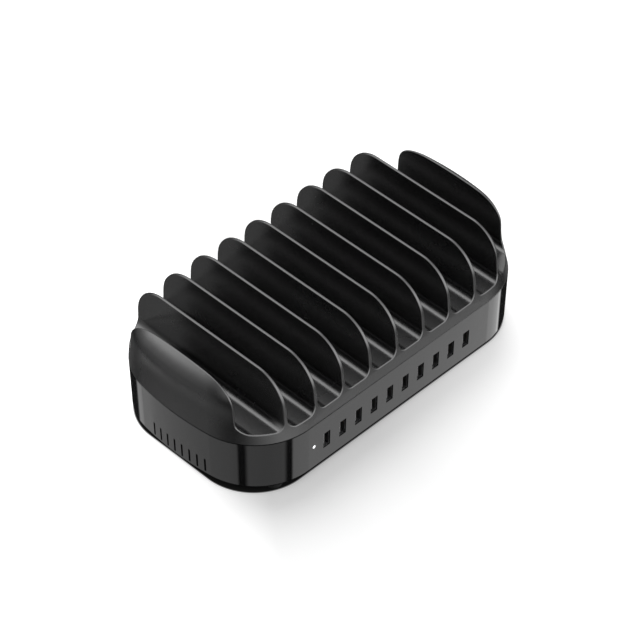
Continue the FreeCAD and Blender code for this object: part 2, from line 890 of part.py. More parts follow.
def fuse():
    """Cartridge fuse held in two clips."""
    x, y = board_place(fuse_place_shares)
    level = board_top + fuse_lift
    front = y - fuse_length / 2
    tube = rod(x, level, front, front + fuse_length, fuse_radius)
    ends = []
    for start in (front, front + fuse_length - fuse_cap_length):
        ends.append(rod(x, level, start, start + fuse_cap_length, fuse_cap_radius))
        middle = start + fuse_cap_length / 2
        ends.append(upright(x, middle, fuse_clip_width, fuse_cap_length, board_top, level))
    return tube.fuse(ends).removeSplitter()


def bridge_rectifier():
    """Upright flat block that rectifies the mains."""
    x, y = board_place(bridge_place_shares)
    return upright(x, y, bridge_length, bridge_depth, board_top, board_top + bridge_height)


save("upper_tray", upper_tray())
save("base_housing", base_housing())
save("bottom_cover", bottom_cover())
save("rubber_foot_front_left", rubber_foot(-1, -1))
save("rubber_foot_front_right", rubber_foot(1, -1))
save("rubber_foot_rear_left", rubber_foot(-1, 1))
save("rubber_foot_rear_right", rubber_foot(1, 1))
save("housing_screws", housing_screws())
save("board_screws", board_screws())
save("insulation_sheet", insulation_sheet())
save("usb_board", board(usb_board_left, usb_board_right, usb_board_front, usb_board_back,
                        usb_board_screws))
save("power_board", board(-power_board_length / 2, power_board_length / 2, power_board_front,
                          power_board_back, power_board_screws))
for number, port_x in enumerate(port_xs, 1):
    save(f"usb_shell_{number}", usb_shell(port_x))
    save(f"usb_insert_{number}", usb_insert(port_x))
save("usb_contacts", usb_contacts())
save("light_pipe", light_pipe())
save("status_led", status_led())
save("inlet_body", inlet_body())
save("inlet_pins", inlet_pins())
save("switch_body", switch_body())
save("power_rocker", power_rocker())
save("mains_leads", mains_leads())
save("output_links", output_links())
save("transformer_core", transformer_core())
save("transformer_winding", transformer_winding())
save("bulk_capacitor", capacitor(bulk_place_shares, bulk_radius, bulk_height))
for number, place in enumerate(output_place_shares, 1):
    save(f"output_capacitor_{number}", capacitor(place, output_radius, output_height))
save("primary_heatsink", heatsink(primary_place_shares))
save("secondary_heatsink", heatsink(secondary_place_shares))
save("switching_transistor", package(primary_place_shares))
save("output_rectifier", package(secondary_place_shares))
save("interference_choke", interference_choke())
save("line_capacitor", line_capacitor())
save("fuse", fuse())
save("bridge_rectifier", bridge_rectifier())
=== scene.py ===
import json
import math

import bmesh
import bpy
from mathutils import Matrix, Vector


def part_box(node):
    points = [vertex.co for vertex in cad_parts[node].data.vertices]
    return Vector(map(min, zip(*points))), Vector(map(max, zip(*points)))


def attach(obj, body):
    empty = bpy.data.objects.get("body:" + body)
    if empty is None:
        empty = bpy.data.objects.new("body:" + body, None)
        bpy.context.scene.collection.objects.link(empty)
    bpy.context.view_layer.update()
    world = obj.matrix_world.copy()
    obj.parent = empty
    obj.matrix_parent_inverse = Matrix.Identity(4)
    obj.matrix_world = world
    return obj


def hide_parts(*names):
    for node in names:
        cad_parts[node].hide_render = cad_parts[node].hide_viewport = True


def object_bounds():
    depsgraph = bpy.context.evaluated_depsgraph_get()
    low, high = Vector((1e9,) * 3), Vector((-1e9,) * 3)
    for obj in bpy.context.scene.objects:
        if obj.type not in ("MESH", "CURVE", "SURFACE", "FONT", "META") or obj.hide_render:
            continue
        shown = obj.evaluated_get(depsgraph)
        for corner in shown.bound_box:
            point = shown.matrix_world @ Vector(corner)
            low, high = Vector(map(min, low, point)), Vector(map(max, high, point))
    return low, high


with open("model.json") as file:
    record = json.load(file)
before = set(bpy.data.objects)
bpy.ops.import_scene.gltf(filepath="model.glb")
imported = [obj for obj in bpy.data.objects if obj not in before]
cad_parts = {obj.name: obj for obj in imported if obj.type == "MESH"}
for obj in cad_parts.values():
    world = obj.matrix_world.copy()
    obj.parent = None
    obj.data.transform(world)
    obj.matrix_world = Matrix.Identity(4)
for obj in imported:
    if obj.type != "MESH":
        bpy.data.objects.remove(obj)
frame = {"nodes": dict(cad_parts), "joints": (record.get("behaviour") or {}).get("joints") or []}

cad_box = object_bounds()


# Upper tray: one satin black moulding with nine thin dividers and two domed end walls.
# It is moulded in a spark-eroded tool, which leaves a fine even grain, and its bosses take the
# housing screws from below.
def dress(node, material):
    """Give a CAD node its finish."""
    slots = frame["nodes"][node].data.materials
    slots.clear()
    slots.append(material)


def new_finish(name):
    """Node material with its tree and its shader."""
    material = bpy.data.materials.new(name)
    material.use_nodes = True
    tree = material.node_tree
    return material, tree, tree.nodes["Principled BSDF"]


def add_node(tree, kind, inputs=(), **settings):
    """Shader node with its settings and the values of its named inputs."""
    node = tree.nodes.new(kind)
    for key, value in settings.items():
        setattr(node, key, value)
    for socket, value in dict(inputs).items():
        node.inputs[socket].default_value = value
    return node


def new_group(name, inputs, outputs):
    """Shader node group with its named sockets, and its two end nodes."""
    group = bpy.data.node_groups.new(name, "ShaderNodeTree")
    for socket in inputs:
        group.interface.new_socket(socket, in_out="INPUT", socket_type="NodeSocketFloat")
    for socket in outputs:
        group.interface.new_socket(socket, in_out="OUTPUT", socket_type="NodeSocketFloat")
    return group, group.nodes.new("NodeGroupInput"), group.nodes.new("NodeGroupOutput")


def place_group(tree, group, values):
    """Put a shared effect into a material with its own values."""
    node = tree.nodes.new("ShaderNodeGroup")
    node.node_tree = group
    for socket, value in values.items():
        node.inputs[socket].default_value = value
    return node


def spread(tree, source, low, high):
    """Carry a value between nought and one over to another span."""
    node = add_node(tree, "ShaderNodeMapRange", {"To Min": low, "To Max": high})
    tree.links.new(source, node.inputs["Value"])
    return node.outputs["Result"]


def tint(tree, source, low, high):
    """Blend two colours by a value between nought and one. The lower one may itself be a blend."""
    node = add_node(tree, "ShaderNodeMix", {7: (*high, 1)}, data_type="RGBA")
    if isinstance(low, tuple):
        node.inputs[6].default_value = (*low, 1)
    else:
        tree.links.new(low, node.inputs[6])
    tree.links.new(source, node.inputs["Factor"])
    return node.outputs[2]


def raise_bump(tree, shader, height, depth, strength):
    """Turn a height into the shader's normal."""
    bump = add_node(tree, "ShaderNodeBump", {"Strength": strength, "Distance": depth})
    tree.links.new(height, bump.inputs["Height"])
    tree.links.new(bump.outputs["Normal"], shader.inputs["Normal"])


def moulded_grain():
    """Fine tool grain, the slow change in gloss over a moulding, and specks of dust on faces that look up."""
    group, start, end = new_group("moulded_grain", ("Grain", "Patch"), ("Height", "Cloud", "Dust"))
    place = add_node(group, "ShaderNodeTexCoord")
    grain = add_node(group, "ShaderNodeTexNoise", {"Detail": 3.0, "Roughness": 0.6})
    cloud = add_node(group, "ShaderNodeTexNoise", {"Detail": 4.0, "Roughness": 0.55})
    specks = add_node(group, "ShaderNodeTexNoise", {"Scale": 900.0, "Detail": 1.0})
    upward = add_node(group, "ShaderNodeNewGeometry")
    parts = add_node(group, "ShaderNodeSeparateXYZ")
    level = add_node(group, "ShaderNodeMapRange", {"From Min": 0.55, "From Max": 1.0})
    fleck = add_node(group, "ShaderNodeMapRange", {"From Min": 0.62, "From Max": 0.8})
    dust = add_node(group, "ShaderNodeMath", operation="MULTIPLY")
    link = group.links.new
    for noise in (grain, cloud, specks):
        link(place.outputs["Object"], noise.inputs["Vector"])
    link(start.outputs["Grain"], grain.inputs["Scale"])
    link(start.outputs["Patch"], cloud.inputs["Scale"])
    link(upward.outputs["Normal"], parts.inputs["Vector"])
    link(parts.outputs["Z"], level.inputs["Value"])
    link(specks.outputs["Fac"], fleck.inputs["Value"])
    link(level.outputs["Result"], dust.inputs[0])
    link(fleck.outputs["Result"], dust.inputs[1])
    link(grain.outputs["Fac"], end.inputs["Height"])
    link(cloud.outputs["Fac"], end.inputs["Cloud"])
    link(dust.outputs["Value"], end.inputs["Dust"])
    return group


grain_effect = moulded_grain()
patch_scale = 22.0
dust_grey = (0.014, 0.014, 0.0137)
glance_start, glance_end, glance_roughness = 0.6, 0.9, 0.85


def moulded_plastic(name, dark, light, roughness, grain, depth, strength, shine=0.5):
    """Moulded plastic: a tone and a gloss that drift, tool grain and a trace of dust.

    Its gloss is let down at glancing angles, so that the boxes of the studio don't glare in it.
    """
    material, tree, shader = new_finish(name)
    effect = place_group(tree, grain_effect, {"Grain": grain, "Patch": patch_scale})
    clean = tint(tree, effect.outputs["Cloud"], dark, light)
    colour = tint(tree, effect.outputs["Dust"], clean, dust_grey)
    tree.links.new(colour, shader.inputs["Base Color"])
    rough = spread(tree, effect.outputs["Cloud"], *roughness)
    glance = add_node(tree, "ShaderNodeLayerWeight", {"Blend": 0.5})
    grazing = add_node(tree, "ShaderNodeMapRange", {"From Min": glance_start, "From Max": glance_end,
                                                    "To Max": glance_roughness})
    tree.links.new(glance.outputs["Facing"], grazing.inputs["Value"])
    tree.links.new(rough, grazing.inputs["To Min"])
    tree.links.new(grazing.outputs["Result"], shader.inputs["Roughness"])
    shader.inputs["Specular IOR Level"].default_value = shine
    raise_bump(tree, shader, effect.outputs["Height"], depth, strength)
    return material


tray_satin = moulded_plastic(
    "tray_satin", dark=(0.0032, 0.0032, 0.0034), light=(0.0060, 0.0060, 0.0063),
    roughness=(0.22, 0.31), grain=2600.0, depth=0.00004, strength=0.35, shine=0.8)
seam_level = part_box("base_housing")[1][2]
seam_round = 0.0007


def round_under(material, level, height):
    """Tuck a moulding's lower edge in where it meets the piece below, which leaves a fine dark line."""
    tree = material.node_tree
    place = add_node(tree, "ShaderNodeTexCoord")
    parts = add_node(tree, "ShaderNodeSeparateXYZ")
    edge = add_node(tree, "ShaderNodeMapRange", {"From Min": level, "From Max": level + height})
    tuck = add_node(tree, "ShaderNodeBump", {"Strength": 1.0, "Distance": height})
    tree.links.new(place.outputs["Object"], parts.inputs["Vector"])
    tree.links.new(parts.outputs["Z"], edge.inputs["Value"])
    tree.links.new(edge.outputs["Result"], tuck.inputs["Height"])
    tree.links.new(tuck.outputs["Normal"], tree.nodes["Bump"].inputs["Normal"])


round_under(tray_satin, seam_level, seam_round)
dress("upper_tray", tray_satin)


# Base housing: a gloss black band that goes all round under the tray, polished in the tool.
# The port cut-outs, the vent slots and the sunk power panel are moulded into it.
def polished_skin():
    """The long soft waves of a polished moulding, faint wipe marks, and specks of dust."""
    group, start, end = new_group("polished_skin", ("Wave", "Wipe"), ("Height", "Wipe", "Speck"))
    place = add_node(group, "ShaderNodeTexCoord")
    wave = add_node(group, "ShaderNodeTexNoise", {"Detail": 1.0, "Roughness": 0.4})
    stretch = add_node(group, "ShaderNodeMapping", {"Scale": (1.0, 1.0, 0.25)})
    wipe = add_node(group, "ShaderNodeTexNoise", {"Detail": 5.0, "Roughness": 0.65})
    wipe_span = add_node(group, "ShaderNodeMapRange", {"From Min": 0.45, "From Max": 0.75})
    speck = add_node(group, "ShaderNodeTexVoronoi", {"Scale": 330.0})
    speck_span = add_node(group, "ShaderNodeMapRange", {"From Min": 0.10, "From Max": 0.04})
    link = group.links.new
    link(place.outputs["Object"], wave.inputs["Vector"])
    link(place.outputs["Object"], stretch.inputs["Vector"])
    link(stretch.outputs["Vector"], wipe.inputs["Vector"])
    link(place.outputs["Object"], speck.inputs["Vector"])
    link(start.outputs["Wave"], wave.inputs["Scale"])
    link(start.outputs["Wipe"], wipe.inputs["Scale"])
    link(wipe.outputs["Fac"], wipe_span.inputs["Value"])
    link(speck.outputs["Distance"], speck_span.inputs["Value"])
    link(wave.outputs["Fac"], end.inputs["Height"])
    link(wipe_span.outputs["Result"], end.inputs["Wipe"])
    link(speck_span.outputs["Result"], end.inputs["Speck"])
    return group


skin_effect = polished_skin()
wave_scale, wave_depth, wave_strength = 110.0, 0.00006, 0.12
wipe_scale = 36.0


def gloss_plastic(name, dark, light, roughness):
    """Polished plastic: deep base tone, wipe marks in the gloss, and a barely wavy surface."""
    material, tree, shader = new_finish(name)
    effect = place_group(tree, skin_effect, {"Wave": wave_scale, "Wipe": wipe_scale})
    colour = tint(tree, effect.outputs["Speck"], dark, light)
    tree.links.new(colour, shader.inputs["Base Color"])
    rough = spread(tree, effect.outputs["Wipe"], *roughness)
    tree.links.new(rough, shader.inputs["Roughness"])
    raise_bump(tree, shader, effect.outputs["Height"], wave_depth, wave_strength)
    return material


housing_gloss = gloss_plastic(
    "housing_gloss", dark=(0.006, 0.006, 0.0063), light=(0.012, 0.012, 0.012),
    roughness=(0.045, 0.10))
dress("base_housing", housing_gloss)


# Bottom cover: a textured black plate let into the lower edge of the housing.
# It carries the standoffs for the boards and is held by the six housing screws.
cover_textured = moulded_plastic(
    "cover_textured", dark=(0.012, 0.012, 0.0125), light=(0.02, 0.02, 0.021),
    roughness=(0.50, 0.62), grain=1300.0, depth=0.0001, strength=0.5)
dress("bottom_cover", cover_textured)


# Housing screws: six pan heads of plated steel, let into the cover, with a cross recess for the driver.
# They are cold headed, so the rim is rounded, and they bite into the bosses of the tray.
weld_distance = 0.000001
sharp_edge = math.radians(35)
line_depth, line_strength = 0.00002, 0.2


def islands(node):
    """Lowest and highest corner of each separate solid of a CAD node."""
    shape = bmesh.new()
    shape.from_mesh(frame["nodes"][node].data)
    bmesh.ops.remove_doubles(shape, verts=shape.verts, dist=weld_distance)
    waiting = set(shape.verts)
    corners = []
    while waiting:
        found = [waiting.pop()]
        for vertex in found:
            for edge in vertex.link_edges:
                other = edge.other_vert(vertex)
                if other in waiting:
                    waiting.remove(other)
                    found.append(other)
        corners.append([Vector([pick(vertex.co[axis] for vertex in found) for axis in range(3)])
                        for pick in (min, max)])
    shape.free()
    return corners


def new_piece(name, shape, material, body):
    """Make an object of a finished mesh, smooth where its faces meet gently, that rides on a body."""
    bmesh.ops.recalc_face_normals(shape, faces=shape.faces)
    for face in shape.faces:
        face.smooth = True
    for edge in shape.edges:
        edge.smooth = edge.is_manifold and edge.calc_face_angle() < sharp_edge
    mesh = bpy.data.meshes.new(name)
    shape.to_mesh(mesh)
    shape.free()
    mesh.materials.append(material)
    piece = bpy.data.objects.new(name, mesh)
    bpy.context.scene.collection.objects.link(piece)
    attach(piece, body)
    return piece


def drawn_metal(name, dark, light, roughness, stretch, scale):
    """Rolled or drawn metal: fine lines along one direction in colour, gloss and height."""
    material, tree, shader = new_finish(name)
    place = add_node(tree, "ShaderNodeTexCoord")
    along = add_node(tree, "ShaderNodeMapping", {"Scale": stretch})
    lines = add_node(tree, "ShaderNodeTexNoise", {"Scale": scale, "Detail": 4.0, "Roughness": 0.65})
    tree.links.new(place.outputs["Object"], along.inputs["Vector"])
    tree.links.new(along.outputs["Vector"], lines.inputs["Vector"])
    tree.links.new(tint(tree, lines.outputs["Fac"], dark, light), shader.inputs["Base Color"])
    tree.links.new(spread(tree, lines.outputs["Fac"], *roughness), shader.inputs["Roughness"])
    shader.inputs["Metallic"].default_value = 1.0
    raise_bump(tree, shader, lines.outputs["Fac"], line_depth, line_strength)
    return material


screw_steel = drawn_metal(
    "screw_steel", dark=(0.35, 0.35, 0.37), light=(0.55, 0.55, 0.57),
    roughness=(0.25, 0.42), stretch=(1.0, 1.0, 0.2), scale=1800.0)
screw_steps = 48
head_height, head_round = 0.0015, 0.0004
shank_radius, tip_length = 0.00125, 0.0012
recess_arm, recess_half_width, recess_depth, recess_taper = 0.0016, 0.00042, 0.0008, 0.7


def cross_screw(shape, low, high):
    """Add one pan-head screw, head down, between two corners."""
    x, y = (low.x + high.x) / 2, (low.y + high.y) / 2
    radius = (high.x - low.x) / 2
    seat = low.z + head_height
    profile = ((radius - head_round, low.z), (radius - head_round / 4, low.z + head_round / 4),
               (radius, low.z + head_round), (radius, seat), (shank_radius, seat),
               (shank_radius, high.z - tip_length), (shank_radius / 4, high.z))
    points = [shape.verts.new((x + out, y, level)) for out, level in profile]
    lines = [shape.edges.new(pair) for pair in zip(points, points[1:])]
    bmesh.ops.spin(shape, geom=points + lines, cent=(x, y, 0), axis=(0, 0, 1), dvec=(0, 0, 0),
                   angle=2 * math.pi, steps=screw_steps, use_merge=True)
    rims = [edge for edge in shape.edges if edge.is_boundary]
    arm, half = recess_arm, recess_half_width
    quarter = ((half, arm), (half, half), (arm, half))
    cross = []
    for turn in range(4):
        for across, up in quarter:
            for _ in range(turn):
                across, up = up, -across
            cross.append(shape.verts.new((x + across, y + up, low.z)))
    mouth = [shape.edges.new((start, end)) for start, end in zip(cross, cross[1:] + cross[:1])]
    face_rim = [edge for edge in rims if edge.verts[0].co.z < seat]
    tip_rim = [edge for edge in rims if edge.verts[0].co.z > seat]
    bmesh.ops.triangle_fill(shape, use_beauty=True, edges=face_rim + mouth)
    bmesh.ops.edgeloop_fill(shape, edges=tip_rim)
    sunk = bmesh.ops.extrude_edge_only(shape, edges=mouth)["geom"]
    floor_points = [item for item in sunk if isinstance(item, bmesh.types.BMVert)]
    floor_edges = [item for item in sunk if isinstance(item, bmesh.types.BMEdge)
                   and all(vertex in floor_points for vertex in item.verts)]
    for vertex in floor_points:
        vertex.co.x = x + (vertex.co.x - x) * recess_taper
        vertex.co.y = y + (vertex.co.y - y) * recess_taper
        vertex.co.z += recess_depth
    bmesh.ops.edgeloop_fill(shape, edges=floor_edges)


shape = bmesh.new()
for low, high in islands("housing_screws"):
    single = bmesh.new()
    cross_screw(single, low, high)
    screw_mesh = bpy.data.meshes.new("one_screw")
    single.to_mesh(screw_mesh)
    single.free()
    shape.from_mesh(screw_mesh)
    bpy.data.meshes.remove(screw_mesh)
housing_screws = new_piece("cross_screws", shape, screw_steel, "station")
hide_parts("housing_screws")


# Rubber feet: round die-cut pads stuck into the corners of the cover.
# Soft black rubber, dull and slightly scuffed.
foot_rubber = moulded_plastic(
    "foot_rubber", dark=(0.004, 0.004, 0.004), light=(0.009, 0.009, 0.009),
    roughness=(0.66, 0.82), grain=1500.0, depth=0.00012, strength=0.5, shine=0.15)
for corner in ("front_left", "front_right", "rear_left", "rear_right"):
    dress(f"rubber_foot_{corner}", foot_rubber)


# USB ports: folded shells of dark plated steel, each round a grey plastic insert with its tongue.
# The shells stand on the port board and end just behind the cut-outs in the band.
port_steel = drawn_metal(
    "port_steel", dark=(0.07, 0.07, 0.073), light=(0.20, 0.20, 0.205),
    roughness=(0.35, 0.50), stretch=(1.0, 0.06, 1.0), scale=2200.0)
port_insert = moulded_plastic(
    "port_insert", dark=(0.16, 0.16, 0.162), light=(0.24, 0.24, 0.242),
    roughness=(0.40, 0.52), grain=3000.0, depth=0.00003, strength=0.3)
contact_gold = drawn_metal(
    "contact_gold", dark=(0.60, 0.42, 0.16), light=(0.78, 0.58, 0.26),
    roughness=(0.22, 0.34), stretch=(1.0, 0.08, 1.0), scale=2600.0)
for number in range(1, 11):
    dress(f"usb_shell_{number}", port_steel)
    dress(f"usb_insert_{number}", port_insert)
dress("usb_contacts", contact_gold)


# Indicator: a clear pin pressed in from behind the band, lit white by the lamp on the port board.
# Its end shows as a bright dot that is a little dimmer and cooler at the rim.
glow_core, glow_rim = 0.0007, 0.0014
core_white, rim_white = (1.0, 1.0, 1.0), (0.75, 0.78, 0.82)


def lit_plastic(name, strength):
    """Clear plastic lit from behind, brightest on its axis."""
    material, tree, shader = new_finish(name)
    low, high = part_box("light_pipe")
    place = add_node(tree, "ShaderNodeTexCoord")
    centre = add_node(tree, "ShaderNodeMapping")
    centre.inputs["Location"].default_value = (-(low[0] + high[0]) / 2, 0, -(low[2] + high[2]) / 2)
    flat = add_node(tree, "ShaderNodeVectorMath", operation="MULTIPLY")
    flat.inputs[1].default_value = (1, 0, 1)
    radius = add_node(tree, "ShaderNodeVectorMath", operation="LENGTH")
    edge = add_node(tree, "ShaderNodeMapRange", {"From Min": glow_core, "From Max": glow_rim})
    link = tree.links.new
    link(place.outputs["Object"], centre.inputs["Vector"])
    link(centre.outputs["Vector"], flat.inputs[0])
    link(flat.outputs["Vector"], radius.inputs[0])
    link(radius.outputs["Value"], edge.inputs["Value"])
    glow = tint(tree, edge.outputs["Result"], core_white, rim_white)
    link(glow, shader.inputs["Emission Color"])
    link(glow, shader.inputs["Base Color"])
    shader.inputs["Emission Strength"].default_value = strength
    shader.inputs["Roughness"].default_value = 0.25
    return material


indicator_light = lit_plastic("indicator_light", strength=1.0)
dress("light_pipe", indicator_light)
dress("status_led", indicator_light)


# Power panel at the rear: a black inlet with two pins, and a rocker switch in its frame.
# Both snap into holes in the sunk panel from outside.
inlet_plastic = moulded_plastic(
    "inlet_plastic", dark=(0.012, 0.012, 0.012), light=(0.02, 0.02, 0.02),
    roughness=(0.42, 0.55), grain=2200.0, depth=0.00005, strength=0.4)
pin_metal = drawn_metal(
    "pin_metal", dark=(0.50, 0.48, 0.44), light=(0.70, 0.68, 0.63),
    roughness=(0.22, 0.34), stretch=(1.0, 0.08, 1.0), scale=2400.0)
rocker_gloss = gloss_plastic(
    "rocker_gloss", dark=(0.010, 0.010, 0.010), light=(0.018, 0.018, 0.018),
    roughness=(0.12, 0.22))
dress("inlet_body", inlet_plastic)
dress("switch_body", inlet_plastic)
dress("inlet_pins", pin_metal)
dress("power_rocker", rocker_gloss)


# Switch marks: a bar for on and a ring for off, printed in white on the two halves of the rocker.
# The bar is on the half that is pressed in at rest, and the print turns with the rocker.
mark_white = moulded_plastic(
    "mark_white", dark=(0.62, 0.62, 0.61), light=(0.74, 0.74, 0.73),
    roughness=(0.45, 0.58), grain=2400.0, depth=0.00002, strength=0.3)
rocker_pivot = Vector(frame["joints"][0]["pos_m"])
rocker_crown, rocker_dish, rocker_half_height = 0.0036, 0.0011, 0.0073
rocker_rest = math.radians(-10)
print_height, print_steps = 0.00005, 48
bar_width, bar_height, bar_round = 0.0007, 0.0030, 0.0002
ring_radius, ring_stroke = 0.0014, 0.0006


def on_rocker(shape, points, side):
    """Carry a mark from the origin to the upper or lower half of the tipped rocker's dished face."""
    slope = math.atan2(rocker_dish, rocker_half_height)
    middle = Vector((0, rocker_crown + rocker_dish / 2, side * rocker_half_height / 2))
    lean = Matrix.Rotation(-side * slope, 4, "X")
    tip = Matrix.Rotation(rocker_rest, 4, "X")
    place = Matrix.Translation(rocker_pivot) @ tip @ Matrix.Translation(middle) @ lean
    bmesh.ops.transform(shape, matrix=place, verts=points)


shape = bmesh.new()
corners = [shape.verts.new((side * bar_width / 2, -print_height, end * bar_height / 2))
           for side, end in ((-1, -1), (1, -1), (1, 1), (-1, 1))]
bar = shape.faces.new(corners)
grown = bmesh.ops.extrude_face_region(shape, geom=[bar])["geom"]
raised = [item for item in grown if isinstance(item, bmesh.types.BMVert)]
bmesh.ops.translate(shape, verts=raised, vec=(0, 2 * print_height, 0))
sides = [edge for edge in shape.edges if abs(edge.verts[0].co.y - edge.verts[1].co.y) > print_height]
bmesh.ops.bevel(shape, geom=sides, offset=bar_round, offset_type="OFFSET", affect="EDGES", segments=6,
                profile=0.5, material=-1)
bar_points = list(shape.verts)
on_rocker(shape, bar_points, -1)
section = [shape.verts.new((ring_radius + side * ring_stroke / 2, level * print_height, 0))
           for side, level in ((-1, -1), (1, -1), (1, 1), (-1, 1))]
outline = [shape.edges.new(pair) for pair in zip(section, section[1:] + section[:1])]
bmesh.ops.spin(shape, geom=section + outline, cent=(0, 0, 0), axis=(0, 1, 0), dvec=(0, 0, 0),
               angle=2 * math.pi, steps=print_steps, use_merge=True)
on_rocker(shape, [vertex for vertex in shape.verts if vertex not in set(bar_points)], 1)
new_piece("switch_marks", shape, mark_white, "rocker")


# Circuit boards and what stands on them, closed in by the cover: green laminate, screws of plated
# steel, a film under the boards, ferrite, taped winding, sleeved cans and finned heatsinks.
board_green = moulded_plastic(
    "board_green", dark=(0.010, 0.075, 0.030), light=(0.018, 0.12, 0.05),
    roughness=(0.25, 0.40), grain=600.0, depth=0.00005, strength=0.3)
sheet_film = moulded_plastic(
    "sheet_film", dark=(0.06, 0.06, 0.06), light=(0.09, 0.09, 0.09),
    roughness=(0.30, 0.45), grain=500.0, depth=0.00004, strength=0.2)
lead_sleeve = moulded_plastic(
    "lead_sleeve", dark=(0.20, 0.035, 0.02), light=(0.28, 0.05, 0.03),
    roughness=(0.40, 0.52), grain=1200.0, depth=0.00004, strength=0.3)
link_copper = drawn_metal(
    "link_copper", dark=(0.55, 0.28, 0.15), light=(0.72, 0.42, 0.26),
    roughness=(0.25, 0.40), stretch=(1.0, 0.1, 1.0), scale=1500.0)
ferrite = moulded_plastic(
    "ferrite", dark=(0.035, 0.035, 0.037), light=(0.06, 0.06, 0.063),
    roughness=(0.45, 0.62), grain=1800.0, depth=0.00008, strength=0.5)
winding_tape = moulded_plastic(
    "winding_tape", dark=(0.52, 0.34, 0.03), light=(0.68, 0.47, 0.06),
    roughness=(0.22, 0.35), grain=260.0, depth=0.0001, strength=0.3)
can_sleeve = moulded_plastic(
    "can_sleeve", dark=(0.015, 0.02, 0.05), light=(0.025, 0.032, 0.075),
    roughness=(0.25, 0.38), grain=400.0, depth=0.00005, strength=0.25)
sink_metal = drawn_metal(
    "sink_metal", dark=(0.52, 0.52, 0.54), light=(0.70, 0.70, 0.72),
    roughness=(0.32, 0.5), stretch=(1.0, 1.0, 0.05), scale=1400.0)
package_black = moulded_plastic(
    "package_black", dark=(0.014, 0.014, 0.014), light=(0.024, 0.024, 0.024),
    roughness=(0.48, 0.6), grain=2600.0, depth=0.00004, strength=0.4)
capacitor_case = moulded_plastic(
    "capacitor_case", dark=(0.48, 0.33, 0.03), light=(0.60, 0.43, 0.05),
    roughness=(0.35, 0.48), grain=1500.0, depth=0.00005, strength=0.3)
inner_finishes = {
    "usb_board": board_green, "power_board": board_green, "board_screws": screw_steel,
    "insulation_sheet": sheet_film, "mains_leads": lead_sleeve,
    "output_links": link_copper, "transformer_core": ferrite, "interference_choke": ferrite,
    "transformer_winding": winding_tape, "bulk_capacitor": can_sleeve, "output_capacitor_1": can_sleeve,
    "output_capacitor_2": can_sleeve, "output_capacitor_3": can_sleeve, "output_capacitor_4": can_sleeve,
    "primary_heatsink": sink_metal, "secondary_heatsink": sink_metal, "fuse": pin_metal,
    "switching_transistor": package_black, "output_rectifier": package_black,
    "bridge_rectifier": package_black, "line_capacitor": capacitor_case,
}
for node, finish in inner_finishes.items():
    dress(node, finish)


# Floor: a plain white sweep that takes the shadow. Polished faces look past it to the studio.
# It has a painted shadow only under the station, dark like the low gap there, and the camera sees the rest
# over white, most of all beside the two ends, where this painted light hides the shadow, so that mainly the
# shadow in front shows.
floor_half = 4.0
floor_mesh = bpy.data.meshes.new("floor")
shape = bmesh.new()
bmesh.ops.create_grid(shape, x_segments=1, y_segments=1, size=floor_half)
shape.to_mesh(floor_mesh)
shape.free()
floor = bpy.data.objects.new("floor", floor_mesh)
bpy.context.scene.collection.objects.link(floor)
floor_white, tree, shader = new_finish("floor_white")
shader.inputs["Roughness"].default_value = 0.9
shader.inputs["Specular IOR Level"].default_value = 0.0
shader.inputs["Emission Color"].default_value = (1, 1, 1, 1)
# The dark grey is painted shadow under the station; the light grey is the floor's own colour
painted_shadow_grey, floor_grey = (0.03, 0.03, 0.03), (0.75, 0.75, 0.75)
station_corner = 0.047
painted_shadow_inset, painted_shadow_blur = 0.0046, 0.0012
painted_shadow_edge = station_corner - painted_shadow_inset
straight_sides = (cad_box[1][0] - station_corner, cad_box[1][1] - station_corner, 1)
lift_front, lift_left, lift_right = 0.32, 0.85, 0.54
towards_left = (-0.8, 0.6, 0)
left_start, left_end = 0.052, 0.115
right_start, right_end = -0.03, 0.15
link = tree.links.new
place = add_node(tree, "ShaderNodeTexCoord")

# How far a point is outside the straight sides of the station, which gives an outline with round corners
folded = add_node(tree, "ShaderNodeVectorMath", operation="ABSOLUTE")
past = add_node(tree, "ShaderNodeVectorMath", {1: straight_sides}, operation="SUBTRACT")
beside = add_node(tree, "ShaderNodeVectorMath", {1: (0, 0, 0)}, operation="MAXIMUM")
reach = add_node(tree, "ShaderNodeVectorMath", operation="LENGTH")
clear = add_node(tree, "ShaderNodeMapRange", {"From Min": painted_shadow_edge, "From Max": painted_shadow_edge + painted_shadow_blur})
link(place.outputs["Object"], folded.inputs[0])
link(folded.outputs["Vector"], past.inputs[0])
link(past.outputs["Vector"], beside.inputs[0])
link(beside.outputs["Vector"], reach.inputs[0])
link(reach.outputs["Value"], clear.inputs["Value"])
# Floor colour: a painted shadow within the outline of the station, the plain floor outside it
link(tint(tree, clear.outputs["Result"], painted_shadow_grey, floor_grey), shader.inputs["Base Color"])

# The painted light that only the camera sees, which grows towards both ends and is off under the station
leftward = add_node(tree, "ShaderNodeVectorMath", {1: towards_left}, operation="DOT_PRODUCT")
across = add_node(tree, "ShaderNodeSeparateXYZ")
bright_left = add_node(tree, "ShaderNodeMapRange", {"From Min": left_start, "From Max": left_end,
                                                    "To Min": lift_front, "To Max": lift_left})
bright_right = add_node(tree, "ShaderNodeMapRange", {"From Min": right_start, "From Max": right_end,
                                                     "To Min": lift_front, "To Max": lift_right})
brighter = add_node(tree, "ShaderNodeMath", operation="MAXIMUM")
open_floor = add_node(tree, "ShaderNodeMath", operation="MULTIPLY")
floor_path = add_node(tree, "ShaderNodeLightPath")
lift = add_node(tree, "ShaderNodeMath", operation="MULTIPLY")
link(place.outputs["Object"], leftward.inputs[0])
link(place.outputs["Object"], across.inputs["Vector"])
link(leftward.outputs["Value"], bright_left.inputs["Value"])
link(across.outputs["X"], bright_right.inputs["Value"])
link(bright_left.outputs["Result"], brighter.inputs[0])
link(bright_right.outputs["Result"], brighter.inputs[1])
link(clear.outputs["Result"], open_floor.inputs[0])
